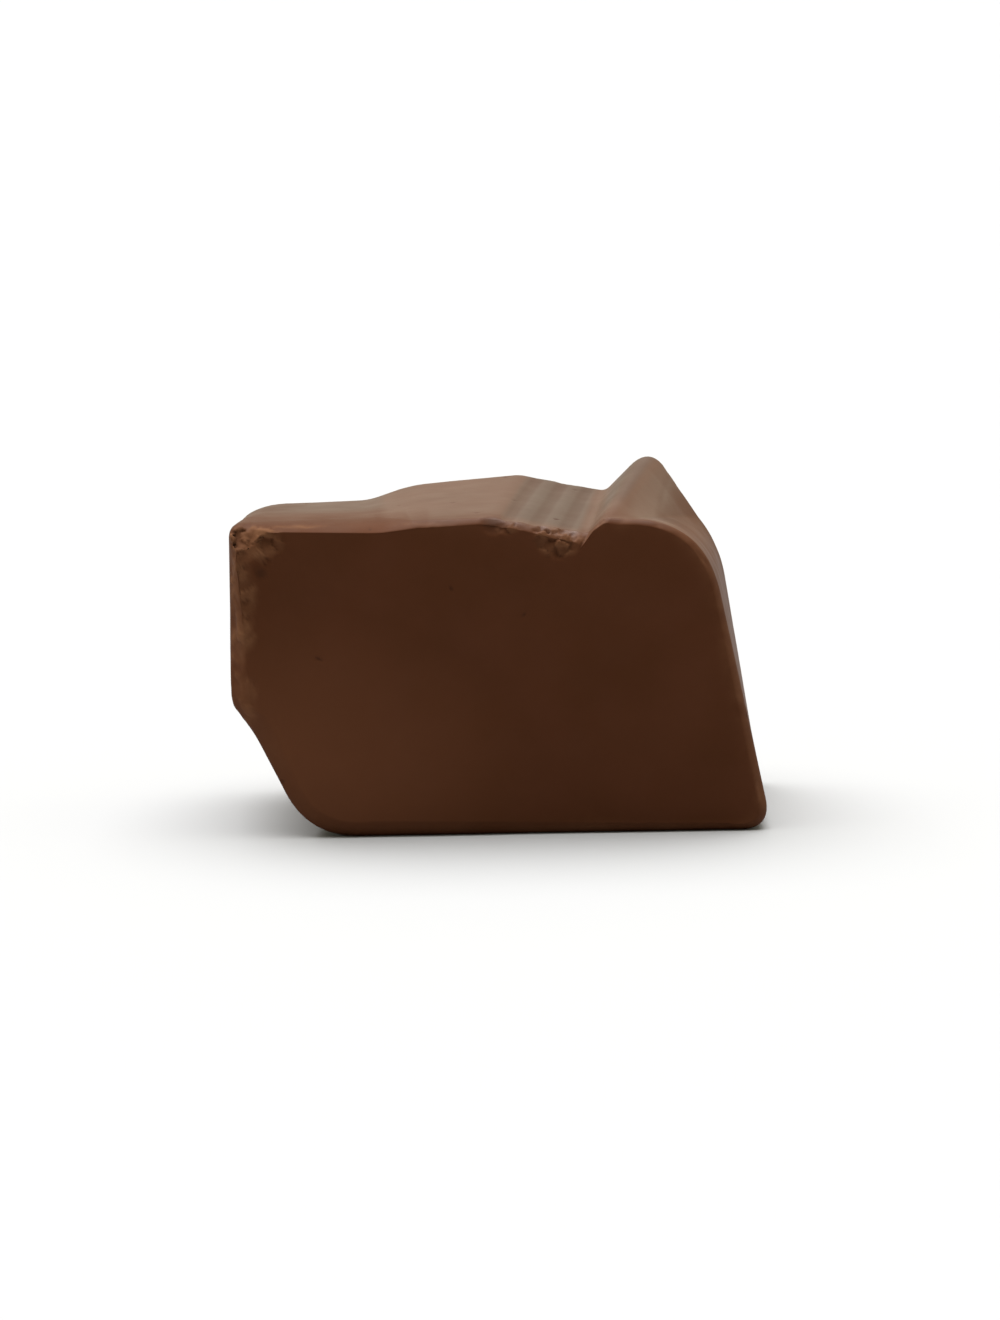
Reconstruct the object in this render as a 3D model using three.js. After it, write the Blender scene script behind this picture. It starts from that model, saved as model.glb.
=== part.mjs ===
// A chunk snapped off a thick slab of chocolate, standing on its flat underside.
// Millimetres: +X right, +Y back, +Z up. The origin is the middle of the underside.
//
// The chunk is one outline carried from its front break to its back break. On the way the outline
// drifts to the right, as the slab's mould ran, and changes a little. Where the sides meet the two
// breaks the rims are worn round. Small bites out of the front rims are chipped edges.
import * as THREE from 'three';

// Driving dimensions.
const DEPTH = 26; // from the front break to the back break
const HEIGHT = 28.8; // to the mould face on top, at the front break
const LEFT = -25.9; // the broken left end
const RIGHT = 23.5; // foot of the right wall, at the front break
const DRIFT = 2.5; // how far the foot of the right wall runs to the right over the depth
const VALLEY_DROP = 1.6; // from the mould face down to the foot of the hump
const PEAK_RISE = 3.5; // from the mould face up to the hump's peak at the back
const KNEE_HEIGHT = 10; // kink in the sloping lower left side

// Corners of the outline, clockwise seen from the front. Each has its place [x, z] on the front and
// on the back break, and reach, how far its rounding runs from the corner at the front and the back.
// A rim is worn away by [down the break, along the side]. Steps are the mesh's, over the rounding and
// over the straight stretch that follows.
const CORNERS = [
  {
    name: 'foot', front: [LEFT + 7.1, 0], back: [LEFT + 11.9, 0], reach: [4.6, 3.6],
    frontRim: [1.6, 1.2], backRim: [1.4, 1.4], steps: [4, 6],
  },
  {
    name: 'knee', front: [LEFT + 2, KNEE_HEIGHT], back: [LEFT + 5.5, KNEE_HEIGHT - 0.2], reach: [1.5, 1.5],
    frontRim: [1.9, 1.5], backRim: [1.4, 1.4], steps: [2, 2],
  },
  {
    name: 'end_low', front: [LEFT + 0.2, KNEE_HEIGHT + 2], back: [LEFT + 3.1, KNEE_HEIGHT + 2.4],
    reach: [1.0, 1.6], frontRim: [1.8, 1.6], backRim: [1.5, 1.5], steps: [3, 7],
  },
  {
    name: 'end_top', front: [LEFT, HEIGHT - 0.2], back: [LEFT + 2.5, HEIGHT - 1.6], reach: [1.0, 4.8],
    frontRim: [0.6, 3.6], backRim: [1.7, 1.7], steps: [4, 8],
  },
  {
    name: 'shelf', front: [-13.2, HEIGHT - 0.2], back: [-11.0, HEIGHT - 1.35], reach: [0.6, 1.0],
    frontRim: [0.9, 6.0], backRim: [1.2, 1.2], steps: [2, 5],
  },
  {
    name: 'plateau', front: [-8.6, HEIGHT - 0.1], back: [-7.2, HEIGHT - 0.05], reach: [0.6, 1.6],
    frontRim: [0.6, 1.4], backRim: [1.0, 1.0], steps: [3, 5],
  },
  {
    name: 'ridge', front: [-2.2, HEIGHT + 0.1], back: [3.2, HEIGHT + 0.8], reach: [0.5, 0.5],
    frontRim: [0.5, 0.8], backRim: [0.7, 0.7], steps: [2, 16],
  },
  {
    name: 'valley', front: [6.4, HEIGHT - VALLEY_DROP], back: [11.2, HEIGHT - VALLEY_DROP + 0.8],
    reach: [0.5, 0.6], frontRim: [0.8, 1.4], backRim: [0.5, 0.5], steps: [2, 2],
  },
  {
    name: 'hump', front: [7.8, HEIGHT - 0.1], back: [15.5, HEIGHT + PEAK_RISE], reach: [0.7, 2.7],
    frontRim: [0.4, 0.6], backRim: [0.6, 0.8], steps: [4, 4],
  },
  {
    name: 'shoulder', front: [RIGHT - 6.5, HEIGHT], back: [RIGHT - 1.5, HEIGHT - 6], reach: [7.2, 3],
    frontRim: [0.6, 0.8], backRim: [1.0, 1.2], steps: [9, 9],
  },
  {
    name: 'toe', front: [RIGHT, 0], back: [RIGHT + DRIFT, 0], reach: [3, 2.4],
    frontRim: [0.8, 0.9], backRim: [1.4, 1.4], steps: [4, 10],
  },
];

// Both breaks close on a point inside the outline, [x, z] at the front and at the back.
const FRONT_CENTRE = new THREE.Vector2(-1.5, 13.5);
const BACK_CENTRE = new THREE.Vector2(1.5, 13.5);
const RIM_POWER = 1.4; // 2 wears a rim to an ellipse, 1 to a flat bevel
const LEAST_LEAN = 0.45; // bounds how far a rim's wear runs along a slanting ray

// Ribs that the mould left in the valley, as waves across it.
const RIB_PITCH = 0.342; // of the valley's width
const RIB_START = 0.095; // first groove at the front break, of the valley's width
const RIB_SHIFT = 0.08; // how far the grooves move across the valley from front to back
const RIB_DEPTH = 0.16; // of a groove, below the crests beside it
const RIB_FADE = 0.08; // of the valley's width, at both its edges
const RIB_END = 3; // how far from the back break the grooves begin to run out

// Slow hollows in the two breaks: depth, wave lengths along X and Z, and phase.
const FRONT_HOLLOWS = [
  { depth: 0.1, x: 31, z: 47, phase: 0.4 },
  { depth: 0.06, x: -17, z: 23, phase: 2.1 },
];
const BACK_HOLLOWS = [
  { depth: 0.9, x: 44, z: -61, phase: 1.3 },
  { depth: 0.5, x: 23, z: 31, phase: 0.2 },
];
const HOLLOW_FADE = 5; // how far along the side a break's hollows die away

// Chipped edges: a ball bites into an edge. Its centre lies out from the point on the edge, and the
// bite is as deep as the ball reaches past that point.
const BITES = [
  { name: 'valley_lip', at: [3.7, -13, 26.9], out: [0.1, -0.74, 0.66], radius: 3.6, depth: 0.4 },
  { name: 'end_corner', at: [-24, -13, 27.5], out: [-0.35, -0.7, 0.6], radius: 5, depth: 0.8 },
];

// Rows of the mesh: rings on each break, rows round each rim, and rows along the side.
const BREAK_RINGS = 6;
const RIM_ROWS = 4;
const SIDE_ROWS = 15;
const SIDE_CROWDING = 1.35; // above 1 crowds the side's rows towards the front

const mix = (from, to, share) => from + (to - from) * share;
const vector2 = ([x, z]) => new THREE.Vector2(x, z);

/** The point on the way from one point to another, at the given distance. */
function towards(from, to, distance) {
  return to.clone().sub(from).setLength(distance).add(from);
}

/** One break's closed outline: each corner's rounding, then the straight stretch to the next corner. */
function outline(face) {
  const end = face === 'front' ? 0 : 1;
  const corners = CORNERS.map((corner) => vector2(corner[face]));
  const rounded = corners.map((corner, i) => {
    const before = corners.at(i - 1);
    const after = corners[(i + 1) % corners.length];
    const reach = CORNERS[i].reach[end];
    return new THREE.QuadraticBezierCurve(
      towards(corner, before, reach), corner, towards(corner, after, reach),
    );
  });
  return rounded.flatMap((curve, i) => {
    const [roundSteps, straightSteps] = CORNERS[i].steps;
    const straight = new THREE.LineCurve(curve.v2, rounded[(i + 1) % rounded.length].v0);
    return [...curve.getPoints(roundSteps), ...straight.getPoints(straightSteps).slice(1, -1)];
  });
}

/** Where each column of the mesh stands in CORNERS: a whole number on a rounding, more between. */
function columnPlaces() {
  return CORNERS.flatMap(({ steps: [roundSteps, straightSteps] }, i) => [
    ...Array(roundSteps + 1).fill(i),
    ...Array.from({ length: straightSteps - 1 }, (_, step) => i + (step + 1) / straightSteps),
  ]);
}

/** A rim's wear at a place, between the values at the corners on both sides of it. */
function wearAt(rim, place) {
  const here = CORNERS[Math.floor(place)][rim];
  const next = CORNERS[(Math.floor(place) + 1) % CORNERS.length][rim];
  return here.map((value, i) => mix(value, next[i], place % 1));
}

/** How squarely the ray from the centre meets the outline at each point: 1 is square. */
function leans(points, centre) {
  return points.map((point, i) => {
    const along = points[(i + 1) % points.length].clone().sub(points.at(i - 1)).normalize();
    const ray = point.clone().sub(centre).normalize();
    return Math.max(LEAST_LEAN, Math.abs(ray.cross(along)));
  });
}

const frontOutline = outline('front');
const backOutline = outline('back');
const frontLeans = leans(frontOutline, FRONT_CENTRE);
const backLeans = leans(backOutline, BACK_CENTRE);
const columns = columnPlaces().map((place, i) => ({
  place,
  front: frontOutline[i],
  back: backOutline[i],
  frontLean: frontLeans[i],
  backLean: backLeans[i],
  frontRim: wearAt('frontRim', place),
  backRim: wearAt('backRim', place),
}));

/** A column's point at depth y, pulled in from the outline by a distance, then shrunk to the centre. */
function sectionPoint(column, y, inset, lean, size) {
  const share = y / DEPTH + 0.5;
  const point = column.front.clone().lerp(column.back, share);
  const centre = FRONT_CENTRE.clone().lerp(BACK_CENTRE, share);
  const ray = point.sub(centre);
  const kept = (1 - inset / lean / ray.length()) * size;
  return new THREE.Vector3(centre.x + ray.x * kept, y, centre.y + ray.y * kept);
}

/** A point on a break or its rim. Wear 0 is the break, and 1 is where the rim meets the side. */
function endPoint(column, face, wear, size) {
  const sign = face === 'front' ? -1 : 1;
  const [down, along] = column[`${face}Rim`];
  const angle = (wear * Math.PI) / 2;
  const inset = down * (1 - Math.sin(angle) ** (2 / RIM_POWER));
  const back = along * (1 - Math.cos(angle) ** (2 / RIM_POWER));
  return sectionPoint(column, sign * (DEPTH / 2 - back), inset, column[`${face}Lean`], size);
}

/** A point on the side, at this share of the way from the front rim to the back rim. */
function sidePoint(column, share) {
  const start = -DEPTH / 2 + column.frontRim[1];
  const end = DEPTH / 2 - column.backRim[1];
  return sectionPoint(column, mix(start, end, share), 0, 1, 1);
}

/** Sinks a break's point into its slow hollows, which die away along the side. */
function addHollows(point, hollows, sign) {
  const share = Math.max(0, 1 - (DEPTH / 2 - sign * point.y) / HOLLOW_FADE);
  for (const { depth, x, z, phase } of hollows) {
    const wave = 0.5 + 0.5 * Math.sin(2 * Math.PI * (point.x / x + point.z / z) + phase);
    point.y -= sign * share * depth * wave;
  }
}

/** Lowers a point of the valley by its share of the nearest rib groove. */
function addRibs(point, column, share) {
  const corner = Math.floor(column.place);
  const across = column.place % 1;
  if (CORNERS[corner].name !== 'ridge' || across === 0) return;
  const turn = (across - RIB_START - RIB_SHIFT * (point.y / DEPTH + 0.5)) / RIB_PITCH;
  const fade = Math.min(1, across / RIB_FADE, (1 - across) / RIB_FADE, (DEPTH / 2 - point.y) / RIB_END);
  point.z -= share * RIB_DEPTH * fade * (0.5 + 0.5 * Math.cos(2 * Math.PI * turn));
}

/** Pushes a point that lies inside a bite's ball out to the ball's surface. */
function addBite(point, { at, out, radius, depth }) {
  const direction = new THREE.Vector3(...out).normalize();
  const centre = new THREE.Vector3(...at).addScaledVector(direction, radius - depth);
  const offset = point.clone().sub(centre);
  if (offset.length() < radius) point.copy(centre).add(offset.setLength(radius));
}

/** A ring of points over all columns, with the ribs of the valley sunk into it by a share. */
function ring(pointAt, ribShare) {
  return columns.map((column) => {
    const point = pointAt(column);
    addRibs(point, column, ribShare);
    return point;
  });
}

/** One break's rings, from the one nearest its centre out to where its rim meets the side. */
function endRows(face) {
  const rows = [];
  for (let i = 1; i <= BREAK_RINGS; i += 1) {
    rows.push(ring((column) => endPoint(column, face, 0, i / BREAK_RINGS), 0));
  }
  for (let i = 1; i <= RIM_ROWS; i += 1) {
    rows.push(ring((column) => endPoint(column, face, i / RIM_ROWS, 1), i / RIM_ROWS));
  }
  return rows;
}

/** The rings along the side, between the two rims. */
function sideRows() {
  const rows = [];
  for (let i = 1; i < SIDE_ROWS; i += 1) {
    rows.push(ring((column) => sidePoint(column, (i / SIDE_ROWS) ** SIDE_CROWDING), 1));
  }
  return rows;
}

/** The chunk's closed surface: the rows joined by triangles, and a point closing each break. */
function chunkGeometry() {
  const rows = [...endRows('front'), ...sideRows(), ...endRows('back').reverse()];
  const around = columns.length;
  const points = [
    ...rows.flat(),
    new THREE.Vector3(FRONT_CENTRE.x, -DEPTH / 2, FRONT_CENTRE.y),
    new THREE.Vector3(BACK_CENTRE.x, DEPTH / 2, BACK_CENTRE.y),
  ];
  for (const point of points) {
    addHollows(point, FRONT_HOLLOWS, -1);
    addHollows(point, BACK_HOLLOWS, 1);
    BITES.forEach((bite) => addBite(point, bite));
  }

  const index = [];
  const lastRow = (rows.length - 1) * around;
  const frontTip = rows.length * around;
  const backTip = frontTip + 1;
  for (let i = 0; i < around; i += 1) {
    const next = (i + 1) % around;
    index.push(frontTip, next, i);
    for (let start = 0; start < lastRow; start += around) {
      index.push(start + i, start + next, start + around + next);
      index.push(start + i, start + around + next, start + around + i);
    }
    index.push(backTip, lastRow + i, lastRow + next);
  }

  const geometry = new THREE.BufferGeometry().setFromPoints(points);
  geometry.setIndex(index);
  geometry.computeBoundingBox();
  const { min, max } = geometry.boundingBox;
  geometry.translate(-(min.x + max.x) / 2, -(min.y + max.y) / 2, -min.z);
  geometry.computeVertexNormals();
  return geometry;
}

const chocolate = new THREE.MeshStandardMaterial({ color: 0x4a2c1d, roughness: 0.45, metalness: 0 });
const chunk = new THREE.Mesh(chunkGeometry(), chocolate);
chunk.name = 'chocolate_chunk';

const group = new THREE.Group();
group.add(chunk);
export default group;
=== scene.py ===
"""A rough chunk of thick slab chocolate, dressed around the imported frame.

The scene is in metres, with +X right along the front break, +Y back and +Z up, and the chunk stands
on the floor at the origin. The chunk's own sizes are in millimetres until its mesh is made.
"""
import itertools
import math

import bpy
import numpy as np
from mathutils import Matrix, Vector


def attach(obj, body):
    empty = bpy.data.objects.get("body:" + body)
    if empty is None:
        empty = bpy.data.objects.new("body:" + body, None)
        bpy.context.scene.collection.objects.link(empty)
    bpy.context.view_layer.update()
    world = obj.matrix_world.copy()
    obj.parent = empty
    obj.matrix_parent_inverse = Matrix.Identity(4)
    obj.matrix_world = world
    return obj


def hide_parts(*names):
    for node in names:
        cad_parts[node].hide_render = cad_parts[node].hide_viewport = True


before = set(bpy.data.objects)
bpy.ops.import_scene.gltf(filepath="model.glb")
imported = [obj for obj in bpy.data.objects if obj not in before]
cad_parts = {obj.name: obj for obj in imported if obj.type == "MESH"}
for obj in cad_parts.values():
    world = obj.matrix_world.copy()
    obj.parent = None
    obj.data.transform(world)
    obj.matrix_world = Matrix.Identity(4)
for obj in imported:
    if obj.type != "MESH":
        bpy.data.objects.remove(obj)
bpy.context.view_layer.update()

# Camera: it looks at the chunk's front break from a little to the left and a little above, from
# about 60 cm away, and aims at the middle of the chunk.
CAMERA_TURN = math.radians(-6)
CAMERA_RISE = math.radians(9)
CAMERA_DISTANCE = 0.6
LOOKED_AT = Vector((0.0, 0.0, 0.0140))

backwards = Vector(
    (
        math.sin(CAMERA_TURN) * math.cos(CAMERA_RISE),
        -math.cos(CAMERA_TURN) * math.cos(CAMERA_RISE),
        math.sin(CAMERA_RISE),
    )
)
camera_data = bpy.data.cameras.new("camera")
camera_data.lens = 178
camera_data.clip_start = 0.01
camera_data.clip_end = 10
camera = bpy.data.objects.new("camera", camera_data)
camera.location = LOOKED_AT + backwards * CAMERA_DISTANCE
camera.rotation_mode = "QUATERNION"
camera.rotation_quaternion = (-backwards).to_track_quat("-Z", "Y")
bpy.context.collection.objects.link(camera)
bpy.context.scene.camera = camera
bpy.context.scene.view_settings.view_transform = "Standard"

# Floor: a plain pale matt sheet under the chunk, one flat disc that runs on past the picture.
FLOOR_RADIUS = 2.6
FLOOR_SIDES = 64
FLOOR_COLOUR = (0.400, 0.404, 0.425, 1)

turn = np.linspace(0, 2 * np.pi, FLOOR_SIDES, endpoint=False)
floor_rim = FLOOR_RADIUS * np.stack([np.cos(turn), np.sin(turn), np.zeros(FLOOR_SIDES)], axis=1)
floor_mesh = bpy.data.meshes.new("floor")
floor_mesh.from_pydata(floor_rim.tolist(), [], [list(range(FLOOR_SIDES))])
floor_material = bpy.data.materials.new("pale sheet")
floor_material.use_nodes = True
floor_shader = floor_material.node_tree.nodes["Principled BSDF"]
floor_shader.inputs["Base Color"].default_value = FLOOR_COLOUR
floor_shader.inputs["Roughness"].default_value = 0.9
floor_shader.inputs["Specular IOR Level"].default_value = 0.1
floor_mesh.materials.append(floor_material)
floor = bpy.data.objects.new("floor", floor_mesh)
bpy.context.collection.objects.link(floor)

# Light: a broad soft light from overhead, and a pale room that is brighter behind the chunk than
# in front of it. What the camera sees of the room is as pale as the lit floor.
SUN_STRENGTH = 5.9
SUN_ANGLE = math.radians(70)
SUN_TILT = (math.radians(-12), math.radians(-8), 0.0)
ROOM_FRONT = (0.06, 0.06, 0.055, 1)
ROOM_BACK = (0.84, 0.81, 0.63, 1)
ROOM_SEEN = (0.93, 0.93, 0.93, 1)

sun_data = bpy.data.lights.new("overhead light", "SUN")
sun_data.energy = SUN_STRENGTH
sun_data.angle = SUN_ANGLE
sun = bpy.data.objects.new("overhead light", sun_data)
sun.rotation_euler = SUN_TILT
bpy.context.collection.objects.link(sun)

room = bpy.data.worlds.new("room")
room.use_nodes = True
bpy.context.scene.world = room
room_nodes = room.node_tree.nodes
room_links = room.node_tree.links
room_light = room_nodes["Background"]
direction = room_nodes.new("ShaderNodeTexCoord")
axes = room_nodes.new("ShaderNodeSeparateXYZ")
room_links.new(direction.outputs["Generated"], axes.inputs[0])
across_room = room_nodes.new("ShaderNodeMapRange")
across_room.interpolation_type = "SMOOTHSTEP"
across_room.inputs["From Min"].default_value = -1.0
across_room.inputs["From Max"].default_value = -0.1
room_links.new(axes.outputs["Y"], across_room.inputs["Value"])
room_tone = room_nodes.new("ShaderNodeMix")
room_tone.data_type = "RGBA"
room_tone.inputs["A"].default_value = ROOM_FRONT
room_tone.inputs["B"].default_value = ROOM_BACK
room_links.new(across_room.outputs["Result"], room_tone.inputs["Factor"])
seen = room_nodes.new("ShaderNodeLightPath")
room_colour = room_nodes.new("ShaderNodeMix")
room_colour.data_type = "RGBA"
room_colour.inputs["B"].default_value = ROOM_SEEN
room_links.new(seen.outputs["Is Camera Ray"], room_colour.inputs["Factor"])
room_links.new(room_tone.outputs["Result"], room_colour.inputs["A"])
room_links.new(room_colour.outputs["Result"], room_light.inputs["Color"])

# The chunk: one solid piece snapped off a slab of chocolate about 29 mm thick. The mould made its
# top and its right wall, the front, the back and the left end are breaks, and it stands on the
# slab's flat underside. It is one closed surface over two parameters: around the outline of the
# front break, and along from the middle of that break over the sides to the middle of the back one.
MM = 0.001
DEPTH = 26.0
HEIGHT = 28.8
LEFT = -25.9
RIGHT = 23.5
DRIFT = 2.5
VALLEY_DROP = 1.6
PEAK_RISE = 3.5
KNEE_HEIGHT = 10.0
VALLEY_FLOOR = HEIGHT - VALLEY_DROP

# Each corner of the outline, clockwise from the front: its place [x, z] on the front and on the back
# break, how far its rounding runs at both, how far its rims are worn [down the break, along the
# side], and the mesh's steps over the rounding and over the straight that follows.
CORNERS = {
    "foot": [(LEFT + 7.1, 0), (LEFT + 11.9, 0), (4.6, 3.6), (1.6, 1.2), (1.4, 1.4), (16, 28)],
    "knee": [
        (LEFT + 2, KNEE_HEIGHT),
        (LEFT + 5.5, KNEE_HEIGHT - 0.2),
        (1.5, 1.5),
        (1.9, 1.5),
        (1.4, 1.4),
        (8, 4),
    ],
    "end_low": [
        (LEFT + 0.2, KNEE_HEIGHT + 2),
        (LEFT + 3.1, KNEE_HEIGHT + 2.4),
        (1.0, 1.6),
        (1.8, 1.6),
        (1.5, 1.5),
        (7, 48),
    ],
    "end_top": [
        (LEFT, HEIGHT - 0.2),
        (LEFT + 2.5, HEIGHT - 1.6),
        (1.0, 4.8),
        (0.6, 3.6),
        (1.7, 1.7),
        (14, 48),
    ],
    "shelf": [(-13.2, HEIGHT - 0.2), (-11.0, HEIGHT - 1.35), (0.6, 1.0), (0.9, 6.0), (1.2, 1.2), (5, 13)],
    "plateau": [(-8.6, HEIGHT - 0.1), (-7.2, HEIGHT - 0.05), (0.6, 1.6), (0.6, 1.4), (1.0, 1.0), (7, 24)],
    "ridge": [(-2.2, HEIGHT + 0.1), (3.2, HEIGHT + 0.8), (0.5, 0.5), (0.5, 0.8), (0.7, 0.7), (5, 52)],
    "valley": [(6.4, VALLEY_FLOOR), (11.2, VALLEY_FLOOR + 0.8), (0.5, 0.6), (0.8, 1.4), (0.5, 0.5), (5, 7)],
    "hump": [
        (7.8, HEIGHT - 0.1),
        (15.5, HEIGHT + PEAK_RISE),
        (0.7, 2.7),
        (0.4, 0.6),
        (0.6, 0.8),
        (10, 14),
    ],
    "shoulder": [
        (RIGHT - 6.5, HEIGHT),
        (RIGHT - 1.5, HEIGHT - 6),
        (7.2, 3.0),
        (0.6, 0.8),
        (1.0, 1.2),
        (40, 50),
    ],
    "toe": [(RIGHT, 0), (RIGHT + DRIFT, 0), (3.0, 2.4), (0.8, 0.9), (1.4, 1.4), (12, 16)],
}
FRONT, BACK, REACH, FRONT_RIM, BACK_RIM, STEPS = range(6)
RIM_POWER = 1.4  # 2 wears a rim to an ellipse, 1 to a flat bevel
LEAST_LEAN = 0.45  # bounds how far a rim's wear runs along a slanting ray


def outline(face):
    """One break's closed outline as [x, z] points. A corner's rounding is the parabola that leaves
    one straight a reach before the corner and meets the next a reach after it, with the corner as
    its control point. The straight after it is shared out evenly up to the next rounding."""
    corners = np.array([corner[face] for corner in CORNERS.values()], float)
    reach = np.array([corner[REACH][face] for corner in CORNERS.values()])[:, None]
    begins, ends = (
        corners + reach * way / np.linalg.norm(way, axis=1, keepdims=True)
        for way in (np.roll(corners, 1, 0) - corners, np.roll(corners, -1, 0) - corners)
    )
    stretches = []
    for i, (round_steps, straight_steps) in enumerate(c[STEPS] for c in CORNERS.values()):
        t = np.linspace(0, 1, round_steps + 1)[:, None]
        stretches.append(begins[i] * (1 - t) ** 2 + corners[i] * 2 * t * (1 - t) + ends[i] * t**2)
        t = np.linspace(0, 1, straight_steps + 1)[1:-1, None]
        stretches.append(ends[i] + (begins[(i + 1) % len(corners)] - ends[i]) * t)
    return np.concatenate(stretches)


def lean(points, centre):
    """How squarely the ray from the centre meets the outline at each point: the sine of the angle
    between them, kept above the least lean."""
    along = np.roll(points, -1, 0) - np.roll(points, 1, 0)
    ray = points - centre
    cross = ray[:, 0] * along[:, 1] - ray[:, 1] * along[:, 0]
    lengths = np.linalg.norm(ray, axis=1) * np.linalg.norm(along, axis=1)
    return np.maximum(LEAST_LEAN, np.abs(cross) / lengths)


# Where each column stands among the corners: a whole number on a rounding, more on the straight.
place = np.concatenate(
    [
        np.concatenate([np.full(rounds + 1, i), i + np.arange(1, straights) / straights])
        for i, (rounds, straights) in enumerate(c[STEPS] for c in CORNERS.values())
    ]
)
front_line = outline(FRONT)
back_line = outline(BACK)
FRONT_CENTRE = np.array([-1.5, 13.5])
BACK_CENTRE = np.array([1.5, 13.5])
front_lean = lean(front_line, FRONT_CENTRE)
back_lean = lean(back_line, BACK_CENTRE)


def rim_wear(rim):
    """How far a rim is worn down the break and along the side at each column, straight between the
    values at the corners."""
    wear = np.array([corner[rim] for corner in CORNERS.values()])
    corner = place.astype(int)
    part = (place % 1)[:, None]
    return (wear[corner] * (1 - part) + wear[(corner + 1) % len(wear)] * part).T


def section(y, inset, size):
    """Points of the outline at depth y: the front and back outlines mixed by depth, drawn in by an
    inset along the ray from the centre, and shrunk to the centre by a size."""
    share = (y / DEPTH + 0.5)[..., None]
    centre = FRONT_CENTRE * (1 - share) + BACK_CENTRE * share
    ray = front_line * (1 - share) + back_line * share - centre
    kept = (1 - inset / np.linalg.norm(ray, axis=-1)) * size
    flat = centre + ray * kept[..., None]
    return np.stack([flat[..., 0], y, flat[..., 1]], axis=-1)


def break_rows(sign, rim, leans, sizes, wears):
    """A break's rows from its middle out over its rim. Sizes shrink the break's outline to the
    centre. Wears run from 0 on the break to 1 on the side, along a rounding whose drop and depth
    are a sine and a cosine raised to 2 over the rim power."""
    down, along = rim_wear(rim)
    angle = np.concatenate([np.zeros(len(sizes)), wears * np.pi / 2])[:, None]
    size = np.concatenate([sizes, np.ones(len(wears))])[:, None]
    inset = down * (1 - np.sin(angle) ** (2 / RIM_POWER)) / leans
    back = along * (1 - np.cos(angle) ** (2 / RIM_POWER))
    return section(sign * (DEPTH / 2 - back), inset, size * np.ones_like(inset))


def crowded(rows, power):
    """A break's row sizes, up to 1 at its rim: 1 less a falling straight line raised to a power,
    which brings the rows closer together towards the rim."""
    return 1 - (1 - np.linspace(0, 1, rows + 1)[1:]) ** power * (1 - 1 / (rows + 1))


# Rows are closest at the rims, where the crumbled edges are. A break's edge is its middle rim row.
RIM_ROWS = 10
EDGE_ROW = RIM_ROWS // 2 - 1
SIDE_ROWS = 73
SIDE_POWER = 1.25
front_sizes = crowded(58, 1.45)
back_sizes = crowded(40, 1.25)
rim_steps = np.linspace(0, 1, RIM_ROWS + 1)[1:]
side_shares = np.linspace(0, 1, SIDE_ROWS + 2)[1:-1, None] ** SIDE_POWER

front_rows = break_rows(-1, FRONT_RIM, front_lean, front_sizes, rim_steps)
back_rows = break_rows(1, BACK_RIM, back_lean, back_sizes, rim_steps)[::-1]
side_start = -DEPTH / 2 + rim_wear(FRONT_RIM)[1]
side_end = DEPTH / 2 - rim_wear(BACK_RIM)[1]
side_y = side_start + (side_end - side_start) * side_shares
side_rows = section(side_y, np.zeros_like(side_y), np.ones_like(side_y))
chunk = np.concatenate([front_rows, side_rows, back_rows])
chunk = np.concatenate(
    [
        np.broadcast_to([FRONT_CENTRE[0], -DEPTH / 2, FRONT_CENTRE[1]], (1, len(place), 3)),
        chunk,
        np.broadcast_to([BACK_CENTRE[0], DEPTH / 2, BACK_CENTRE[1]], (1, len(place), 3)),
    ]
)
# How much of the side each row is: 0 on the breaks, 1 on the side, rising over the rims.
on_side = np.concatenate(
    [
        np.zeros(1 + len(front_sizes)),
        rim_steps,
        np.ones(SIDE_ROWS),
        rim_steps[::-1],
        np.zeros(1 + len(back_sizes)),
    ]
)[:, None]

# Ribs that the mould left across the valley, as low waves that drift with the outline. Pitch,
# start, shift and fade are shares of the valley's width. The grooves run out near the back break.
RIB_PITCH = 0.342
RIB_START = 0.095
RIB_SHIFT = 0.08
RIB_FADE = 0.08
RIB_DEPTH = 0.12
RIB_END = 3
across = place - list(CORNERS).index("ridge")
in_valley = np.clip(np.minimum(across, 1 - across) / RIB_FADE, 0, 1)
rib_turn = (across - RIB_START - RIB_SHIFT * (chunk[..., 1] / DEPTH + 0.5)) / RIB_PITCH
rib_wave = 0.5 + 0.5 * np.cos(2 * np.pi * rib_turn)
off_back = np.clip((DEPTH / 2 - chunk[..., 1]) / RIB_END, 0, 1)
chunk[..., 2] -= RIB_DEPTH * in_valley * rib_wave * on_side * off_back
groove = in_valley * np.clip(rib_wave * 2.4 - 0.8, 0, 1) * on_side

# Slow hollows in the two breaks: depth, wave lengths along x and z, and phase. They fade out along
# the sides.
HOLLOW_FADE = 5
HOLLOWS = {
    -1: [(0.1, 31, 47, 0.4), (0.06, -17, 23, 2.1)],
    1: [(0.9, 44, -61, 1.3), (0.5, 23, 31, 0.2)],
}
for sign, hollows in HOLLOWS.items():
    fade = np.clip(1 - (DEPTH / 2 - sign * chunk[..., 1]) / HOLLOW_FADE, 0, 1)
    for deep, wave_x, wave_z, phase in hollows:
        wave = np.sin(2 * np.pi * (chunk[..., 0] / wave_x + chunk[..., 2] / wave_z) + phase)
        chunk[..., 1] -= sign * fade * deep * (0.5 + 0.5 * wave)

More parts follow.
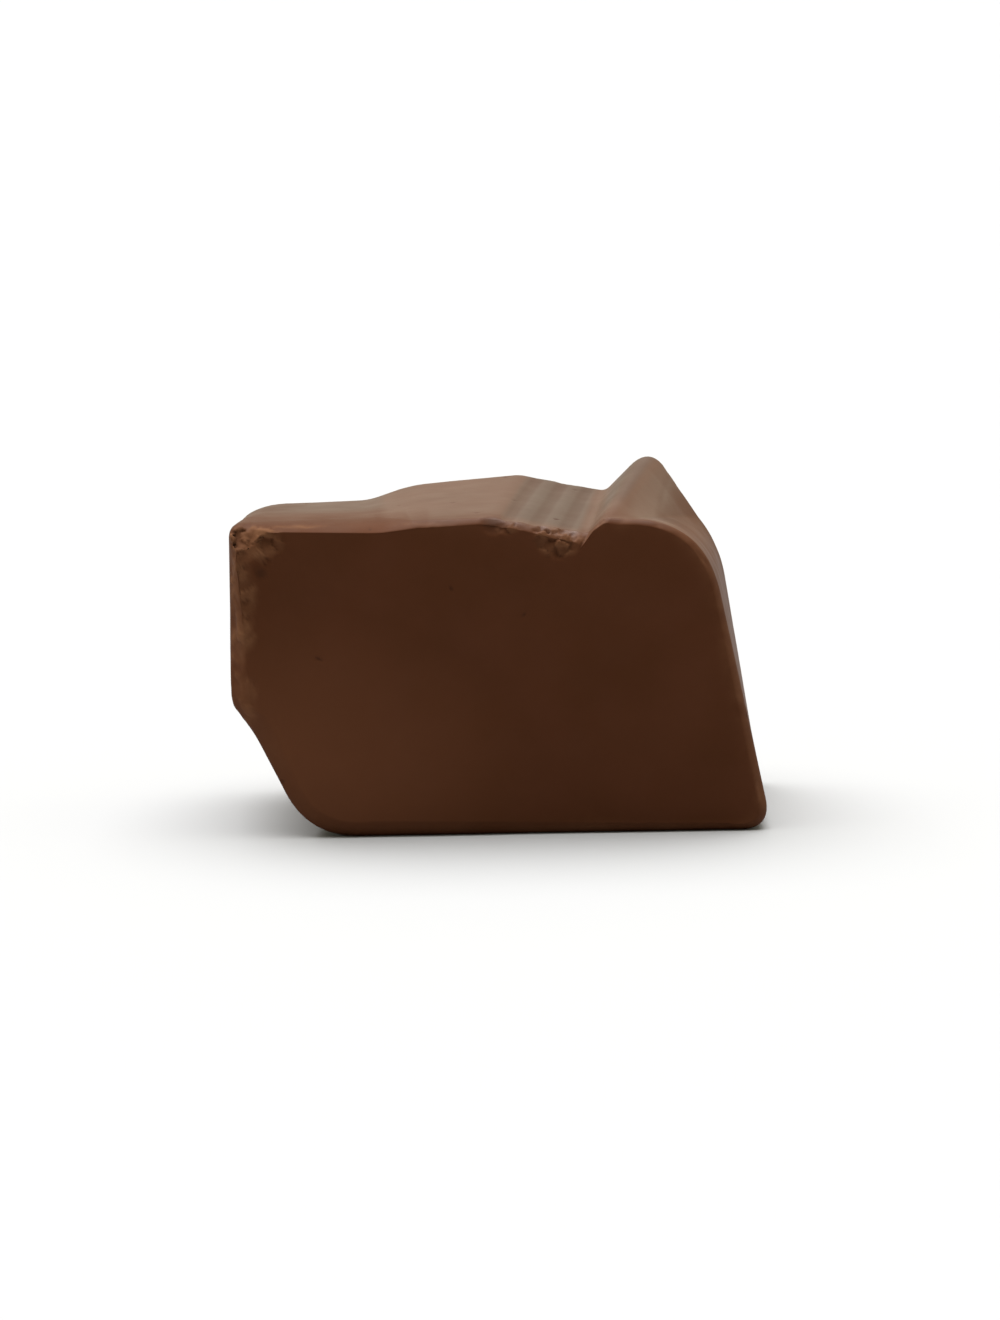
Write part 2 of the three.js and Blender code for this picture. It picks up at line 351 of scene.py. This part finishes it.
# The chipped top corner of the left end, bitten out by a ball: the point on the edge, the way out,
# and the ball's radius and bite. Points inside the ball move out to its surface.
BITE_AT = np.array([-24.0, -13.0, 27.5])
BITE_OUT = np.array([-0.35, -0.7, 0.6])
BITE_RADIUS = 6.0
BITE_DEPTH = 0.6
BITE_EDGE = 0.25
bite_out = BITE_OUT / np.linalg.norm(BITE_OUT)
from_ball = chunk - (BITE_AT + bite_out * (BITE_RADIUS - BITE_DEPTH))
distance = np.linalg.norm(from_ball, axis=-1, keepdims=True)
bitten = np.clip((BITE_RADIUS - distance[..., 0]) / BITE_EDGE, 0, 1)
chunk = np.where(distance < BITE_RADIUS, chunk + from_ball * (BITE_RADIUS / distance - 1), chunk)


def rough(points, size, seed):
    """Soft noise from -1 to 1: random values on a lattice of cubes, smoothly blended between the
    eight corners of each cube. The lattice repeats after its side."""
    side, shift = 37, 500
    values = np.random.default_rng(seed).uniform(-1, 1, (side, side, side))
    where = points / size + shift
    cell = np.floor(where).astype(int)
    part = where - cell
    part = part * part * (3 - 2 * part)
    total = np.zeros(points.shape[:-1])
    for corner in itertools.product((0, 1), repeat=3):
        weight = np.prod(np.where(corner, part, 1 - part), axis=-1)
        total += weight * values[tuple(np.moveaxis((cell + corner) % side, -1, 0))]
    return total


def crumbs(points, size, seed):
    """Facets of crumbled chocolate, from -1 to 1: each point takes the tilted plane of the nearest
    of a lattice of scattered grains. The lattice repeats after its side."""
    side, shift = 31, 310
    draws = np.random.default_rng(seed)
    jitter = draws.uniform(0, 1, (side, side, side, 3))
    tilts = draws.normal(0, 0.7, (side, side, side, 3))
    levels = draws.uniform(-0.6, 0.6, (side, side, side))
    where = points / size + shift
    cell = np.floor(where).astype(int)
    nearest = np.full(points.shape[:-1], np.inf)
    height = np.zeros(points.shape[:-1])
    for step in itertools.product((-1, 0, 1), repeat=3):
        index = tuple(np.moveaxis((cell + step) % side, -1, 0))
        offset = where - (cell + step + jitter[index])
        distance = np.linalg.norm(offset, axis=-1)
        plane = np.sum(offset * tilts[index], axis=-1) + levels[index]
        closer = distance < nearest
        height = np.where(closer, plane, height)
        nearest = np.where(closer, distance, nearest)
    return np.clip(height, -1, 1)


RAGGEDNESS = 0.22
PATCH_EDGE = 0.35
ragged = rough(chunk, 1.4, 31) + 0.6 * rough(chunk, 0.6, 32)


def patch(centre, radii):
    """1 in the middle of an ellipsoid and 0 outside it, with a soft ragged edge between."""
    away = np.linalg.norm((chunk - centre) / radii, axis=-1)
    return np.clip((1 - away + RAGGEDNESS * ragged) / PATCH_EDGE, 0, 1)


def outward(points):
    """Outward unit normals of the grid, from the steps to its neighbours around and along."""
    around = np.roll(points, -1, 1) - np.roll(points, 1, 1)
    along = np.gradient(points, axis=0)
    normal = np.cross(around, along)
    normal[0], normal[-1] = (0, -1, 0), (0, 1, 0)
    return normal / np.maximum(np.linalg.norm(normal, axis=-1, keepdims=True), 1e-9)


normal = outward(chunk)

# Kinds of surface, from 0 to 1. The left end is a break, from the foot to the top of the end, and
# the mould's faces run on from there to the toe.
left_end = np.clip(3.6 - place, 0, 1) * np.clip(place * 8, 0, 1) * on_side
faces_up = np.clip((normal[..., 2] - 0.25) / 0.3, 0, 1)
faces_right = np.clip((normal[..., 0] - 0.2) / 0.4, 0, 1)
mould = np.maximum(faces_up, faces_right) * on_side
front_break = np.clip(-normal[..., 1], 0, 1) * (1 - on_side)
back_break = np.clip(normal[..., 1], 0, 1) * (1 - on_side)
front_edge = chunk[1 + len(front_sizes) + EDGE_ROW]
back_edge = chunk[-2 - len(back_sizes) - EDGE_ROW]
from_front_edge = np.linalg.norm(chunk - front_edge, axis=-1)
from_back_edge = np.linalg.norm(chunk - back_edge, axis=-1)
off_ground = np.clip((chunk[..., 2] - 0.1) / 1.0, 0, 1)

# Relief, measured inwards. The back break and the left end have slow waves and a fine unevenness,
# which fade in along the left end over the first few millimetres from the front rim. The front
# break and the mould's faces have far less, and the front break sinks a little towards its rims.
TORN_WAVES = 0.13
TORN_GRAIN = 0.03
FRONT_WAVES = 0.035
FRONT_GRAIN = 0.006
MOULD_WAVES = 0.008
RIM_SINK = 0.1
RIM_SINK_WIDTH = 1.3
grain = rough(chunk, 0.9, 3)
waves = rough(chunk, 6.5, 5) + 0.5 * rough(chunk, 2.6, 7)
torn = np.clip(back_break + left_end * np.clip(from_front_edge / 6 - 0.1, 0, 1), 0, 1)
relief = torn * (TORN_WAVES * waves + TORN_GRAIN * grain)
relief += front_break * (FRONT_WAVES * waves + FRONT_GRAIN * grain)
relief += mould * MOULD_WAVES * waves
relief += RIM_SINK * front_break * np.exp(-from_front_edge / RIM_SINK_WIDTH) * off_ground

# Ripples of the snap on the back break: faint arcs round the point where it gave way.
SNAP_POINT = (18, 13, 30)
RIPPLE_PITCH = 3.1
RIPPLE_DEPTH = 0.025
snap = np.linalg.norm((chunk - SNAP_POINT) * (1, 0, 1.1), axis=-1)
ripple = np.sin(2 * np.pi * (snap / RIPPLE_PITCH + 0.5 * rough(chunk, 8, 11)))
relief += back_break * RIPPLE_DEPTH * ripple * (0.5 + 0.5 * rough(chunk, 7, 12))

# Crumbled places: soft patches [centre, radii], with the depth, size and paleness of their crumbs.
# The crumbs that stand highest are the palest, and the bitten corner is a little pale all over.
CRUMBLED = {
    "end corner": [(-24.0, -12.7, 27.3), (3.0, 2.0, 2.3), 0.3, 0.95, 0.75],
    "end strip": [(-25.1, -12.5, 21.5), (2.0, 2.0, 6.8), 0.14, 1.1, 0.58],
    "end knee": [(-25.0, -12.5, 13.0), (1.8, 1.8, 4.2), 0.1, 1.2, 0.35],
    "valley lip": [(3.9, -12.6, 26.7), (2.8, 1.6, 1.6), 0.34, 0.9, 0.5],
    "valley lip left": [(-0.6, -13, 28.1), (1.6, 0.9, 0.8), 0.12, 0.8, 0.35],
}
FIRST_CRUMB_SEED = 40
pale = 0.3 * bitten
for seed, (centre, radii, deep, size, shade) in enumerate(CRUMBLED.values(), FIRST_CRUMB_SEED):
    sunk = crumbs(chunk, size, seed)
    crumbled = patch(centre, radii)
    relief += crumbled * deep * (sunk + 0.5)
    pale = np.maximum(pale, crumbled * shade * (0.7 - 0.6 * sunk))

# Nibbled rims: where soft noise along a rim runs high, small grains have broken away.
NIBBLE_WIDTH = 0.55
NIBBLE_DEPTH = 0.12
nibble = np.clip(rough(chunk, 1.9, 21) * 1.6 - 0.25, 0, 1)
sunk = crumbs(chunk, 0.7, 22)
for away in (from_front_edge, from_back_edge):
    at_rim = np.exp(-((away / NIBBLE_WIDTH) ** 2)) * nibble * off_ground
    relief += at_rim * NIBBLE_DEPTH * (sunk + 1)
    pale = np.maximum(pale, 0.6 * at_rim)

# Rubbed front rim, a little paler, most of all down the right side, partly a painted highlight on the
# rounded rim: [place, paleness].
RUB_AND_HIGHLIGHT_WIDTH = 0.9
RUB_AND_HIGHLIGHT = [(8.5, 0.1), (9.2, 0.35), (10.4, 0.35), (10.8, 0.1)]
rub_and_highlight = np.exp(-((from_front_edge / RUB_AND_HIGHLIGHT_WIDTH) ** 2)) * np.clip(0.6 + 0.5 * ragged, 0, 1)
# paler front rim: partly rubbed, partly a painted highlight
pale = np.maximum(pale, rub_and_highlight * np.interp(place, *np.transpose(RUB_AND_HIGHLIGHT)))

# Two pits at the front rim and scattered pinholes: the point on the surface, radius and depth. The
# pinholes keep this many rows off the middles of the two breaks.
PINHOLES = 26
OFF_THE_MIDDLES = 8
pits = [
    [(-2.0, -12.9, 28.5), 1.2, 0.35],
    [(-22.9, -13.0, 24.2), 0.6, 0.15],
]
draws = np.random.default_rng(8)
for _ in range(PINHOLES):
    row = draws.integers(OFF_THE_MIDDLES, len(chunk) - OFF_THE_MIDDLES)
    spot = chunk[row, draws.integers(0, len(place))]
    pits.append([spot, draws.uniform(0.16, 0.3), draws.uniform(0.06, 0.16)])
pitted = np.zeros(chunk.shape[:2])
for spot, radius, deep in pits:
    bowl = np.clip(1 - (np.linalg.norm(chunk - spot, axis=-1) / radius) ** 2, 0, 1)
    relief += deep * bowl * off_ground
    pitted = np.maximum(pitted, bowl)

chunk = chunk - normal * (relief * off_ground)[..., None]
chunk[..., 2] = np.maximum(chunk[..., 2], 0)

# The grid becomes one closed mesh: the first and last rows are one point each. It is moved by the
# little that brings the middle of the chunk's box over the origin.
CENTRING = (0.037, 0.003, 0.0)
ROW_COUNT, COLUMN_COUNT = chunk.shape[:2]
inner = chunk[1:-1].reshape(-1, 3)
vertices = np.concatenate([inner, chunk[0, :1], chunk[-1, :1]])
vertices = (vertices + CENTRING) * MM
ring = np.arange(COLUMN_COUNT)
following = np.roll(ring, -1)
start = COLUMN_COUNT * np.arange(ROW_COUNT - 3)[:, None]
quads = np.stack(
    [start + ring, start + following, start + COLUMN_COUNT + following, start + COLUMN_COUNT + ring],
    axis=-1,
).reshape(-1, 4)
front_tip = len(inner)
last_ring = COLUMN_COUNT * (ROW_COUNT - 3)
front_fan = np.stack([np.full(COLUMN_COUNT, front_tip), following, ring], axis=1)
back_fan = np.stack(
    [np.full(COLUMN_COUNT, front_tip + 1), last_ring + ring, last_ring + following], axis=1
)
chunk_mesh = bpy.data.meshes.new("chunk")
chunk_mesh.from_pydata(vertices.tolist(), [], quads.tolist() + front_fan.tolist() + back_fan.tolist())
chunk_mesh.shade_smooth()


def paint(name, values):
    """Puts one number for each point of the grid on the mesh, for the material to read."""
    flat = np.concatenate([values[1:-1].ravel(), values[0, :1], values[-1, :1]])
    layer = chunk_mesh.attributes.new(name, "FLOAT", "POINT")
    layer.data.foreach_set("value", flat.astype(np.float32))


def rise(values, low, high):
    """0 up to the low value, 1 from the high one, and a smooth step between."""
    t = np.clip((values - low) / (high - low), 0, 1)
    return t * t * (3 - 2 * t)


# Where the paints go: how far in from the front break a point is, plain and with an uneven border,
# and which stretch of the top it is on, by its place among the corners.
inward = chunk[..., 1] + DEPTH / 2
worn_in = inward + 1.8 * rough(chunk, 5.5, 41)
on_shelf = 1 - rise(place, 4, 4.5)
left_of_plateau = 1 - rise(place, 4.9, 5.1)
valley = in_valley * on_side
past_valley = rise(place, 7.1, 7.6)

# How far over the shoulder a point is: 0 at its middle, and more towards the right wall. The sheen
# is brightest just before the turn and fades down the wall: [over, share].
SHOULDER_MIDDLE = (14, 28.5)
SHOULDER_SPAN = (4, 3)
SHOULDER_SHEEN = [
    (-0.9, 1),
    (-0.5, 1.35),
    (0.25, 1.4),
    (0.6, 0.75),
    (0.8, 0.45),
    (1.25, 0.25),
    (2.2, 0.17),
    (3.2, 0.08),
]
over = (chunk[..., 0] - SHOULDER_MIDDLE[0]) / SHOULDER_SPAN[0]
over = over - (chunk[..., 2] - SHOULDER_MIDDLE[1]) / SHOULDER_SPAN[1]
shoulder = np.interp(over, *np.transpose(SHOULDER_SHEEN))
shoulder *= 1 + 1.3 * rise(inward, 12, 19) * rise(over, 0.4, 0.7)
shoulder = 1 + past_valley * (shoulder - 1)

# Sheen of the mould's faces. Rubbing has dulled it along the front break, most of all on the shelf
# and the step beside it. It is duller at the turn to the left end and in the valley's grooves.
rub = on_shelf * (1 - rise(worn_in, 5, 17)) + (1 - on_shelf) * 0.65 * (1 - rise(worn_in, 4, 13))
rim_rub = 0.5 * (1 - valley) * (1 - rise(inward, 1.5, 5 + 2 * past_valley))
end_turn = 1 - 0.25 * (1 - rise(place, 3.1, 3.5))
sheen = mould * end_turn * (1 - left_of_plateau * rub) * (1 - rim_rub)
sheen *= 1 + valley * (0.3 - 0.42 * groove)
sheen *= shoulder

# Darker in the valley, and on the shelf, most at its back. Painted shade on the hump's left flank, by the
# way it faces, and in the pits.
dark = valley * rise(inward, 1, 4) * (0.4 + 0.12 * rise(across, 0.12, 0.3))
dark = np.maximum(dark, mould * on_shelf * (0.14 + 0.16 * rise(worn_in, 9, 17)))
# painted shade on the hump's left flank, set by the way the surface faces
shaded_hump_flank = mould * past_valley * (1 - rise(normal[..., 0], 0.2, 0.7)) * rise(inward, 5, 12)
dark = np.maximum(dark, 0.4 * shaded_hump_flank)
# painted shade in the pits
dark = np.maximum(dark, 0.5 * pitted)

# Painted light: a pool of light painted low on the left of the front break, and the faces that turn right
# beyond the hump's crest painted lighter, by how far over the shoulder they are: [over, share].
LOW_LEFT = (-21, -13, 3)
LOW_LEFT_RADII = (17, 14, 13)
RIGHT_LIGHT = [(0.2, 1), (0.6, 0.6), (2.2, 0.5), (3.5, 0.9)]
from_low_left = np.linalg.norm((chunk - LOW_LEFT) / LOW_LEFT_RADII, axis=-1)
# painted light: a lighter pool low on the left of the front break
light = np.clip(1.4 - from_low_left, 0, 1) * (1 - on_side)
# painted light: lighter where the mould's faces turn right, by the way they face
right_facing = rise(normal[..., 0], 0.1, 0.8) * np.interp(over, *np.transpose(RIGHT_LIGHT))
light = np.maximum(light, 0.6 * past_valley * mould * right_facing)

paint("pale", np.clip(pale, 0, 1))
paint("dark", dark)
paint("light", light)
paint("mould", mould)
paint("sheen", sheen)

# Its chocolate: dark brown with slow reddish and darker clouds, matt on the breaks and satin where the
# mould touched it, paler where grains have crumbled away and along the rubbed front rim, partly a painted
# highlight there, dull in the valley's grooves. It also takes painted light from the light layer, and
# painted shade and darker places from the dark layer.
BROWN = (0.066, 0.0210, 0.0074, 1)
WARM_BROWN = (0.074, 0.0240, 0.0096, 1)
LIT_BROWN = (0.104, 0.0370, 0.0160, 1)
PALE_BROWN = (0.175, 0.0800, 0.0390, 1)
DARK_BROWN = (0.030, 0.0115, 0.0055, 1)
BREAK_ROUGHNESS = 0.72
MOULD_ROUGHNESS = 0.55
MOULD_COAT = 0.47

chocolate = bpy.data.materials.new("chocolate")
chocolate.use_nodes = True
nodes, links = chocolate.node_tree.nodes, chocolate.node_tree.links
shader = nodes["Principled BSDF"]
shader.inputs["Specular IOR Level"].default_value = 0.07
shader.inputs["Coat IOR"].default_value = 1.35
shader.inputs["Coat Roughness"].default_value = 0.4
chunk_point = nodes.new("ShaderNodeTexCoord").outputs["Object"]


def clouds(size, detail, roughness=0.5):
    """Noise over the chunk with clouds of about this many millimetres."""
    noise = nodes.new("ShaderNodeTexNoise")
    noise.inputs["Scale"].default_value = 1 / (size * MM)
    noise.inputs["Detail"].default_value = detail
    noise.inputs["Roughness"].default_value = roughness
    links.new(chunk_point, noise.inputs["Vector"])
    return noise.outputs["Fac"]


def layer(name):
    """One of the numbers that the mesh carries."""
    attribute = nodes.new("ShaderNodeAttribute")
    attribute.attribute_name = name
    return attribute.outputs["Fac"]


def stretch(value, low, high, to_low=0.0, to_high=1.0):
    """A number mapped from one range to another, held within it."""
    ranged = nodes.new("ShaderNodeMapRange")
    for socket, number in zip(ranged.inputs[1:5], (low, high, to_low, to_high)):
        socket.default_value = number
    links.new(value, ranged.inputs["Value"])
    return ranged.outputs["Result"]


def blend(share, first, second):
    """Two colours mixed by a share. A colour is a socket or four numbers."""
    mixed = nodes.new("ShaderNodeMix")
    mixed.data_type = "RGBA"
    links.new(share, mixed.inputs["Factor"])
    for socket, colour in ((mixed.inputs["A"], first), (mixed.inputs["B"], second)):
        if isinstance(colour, tuple):
            socket.default_value = colour
        else:
            links.new(colour, socket)
    return mixed.outputs["Result"]


def combine(kind, first, second):
    """Two numbers added, multiplied and so on. Either may be a socket or a plain number."""
    sum_node = nodes.new("ShaderNodeMath")
    sum_node.operation = kind
    for socket, number in zip(sum_node.inputs, (first, second)):
        if isinstance(number, (int, float)):
            socket.default_value = number
        else:
            links.new(number, socket)
    return sum_node.outputs[0]


# the pale layer: crumbled places, and the rubbed front rim, where part of the paleness is a painted
# highlight
crumbled = combine("MULTIPLY", layer("pale"), stretch(clouds(0.7, 3), 0.3, 0.7, 0.55, 1.0))
colour = blend(stretch(clouds(9, 3), 0.35, 0.65), BROWN, WARM_BROWN)
# painted light: the light layer mixes in a lit copy of the brown
colour = blend(layer("light"), colour, LIT_BROWN)
colour = blend(crumbled, colour, PALE_BROWN)
# the dark layer: darker valley and shelf, with painted shade on the hump's left flank and in the pits
colour = blend(layer("dark"), colour, DARK_BROWN)
links.new(colour, shader.inputs["Base Color"])

dullness = stretch(layer("mould"), 0, 1, BREAK_ROUGHNESS, MOULD_ROUGHNESS)
links.new(combine("MULTIPLY", layer("sheen"), MOULD_COAT), shader.inputs["Coat Weight"])
dullness = combine("ADD", dullness, combine("MULTIPLY", crumbled, 0.15))
dullness = combine("ADD", dullness, stretch(clouds(3, 4), 0.3, 0.7, -0.06, 0.06))
links.new(dullness, shader.inputs["Roughness"])

fine_bump = nodes.new("ShaderNodeBump")
fine_bump.inputs["Strength"].default_value = 0.6
fine_bump.inputs["Distance"].default_value = 0.02 * MM
links.new(clouds(0.35, 4, 0.6), fine_bump.inputs["Height"])
links.new(fine_bump.outputs["Normal"], shader.inputs["Normal"])

chunk_mesh.materials.append(chocolate)
chunk_piece = bpy.data.objects.new("chunk", chunk_mesh)
bpy.context.collection.objects.link(chunk_piece)
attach(chunk_piece, "root")
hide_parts("chocolate_chunk")

bpy.context.view_layer.update()
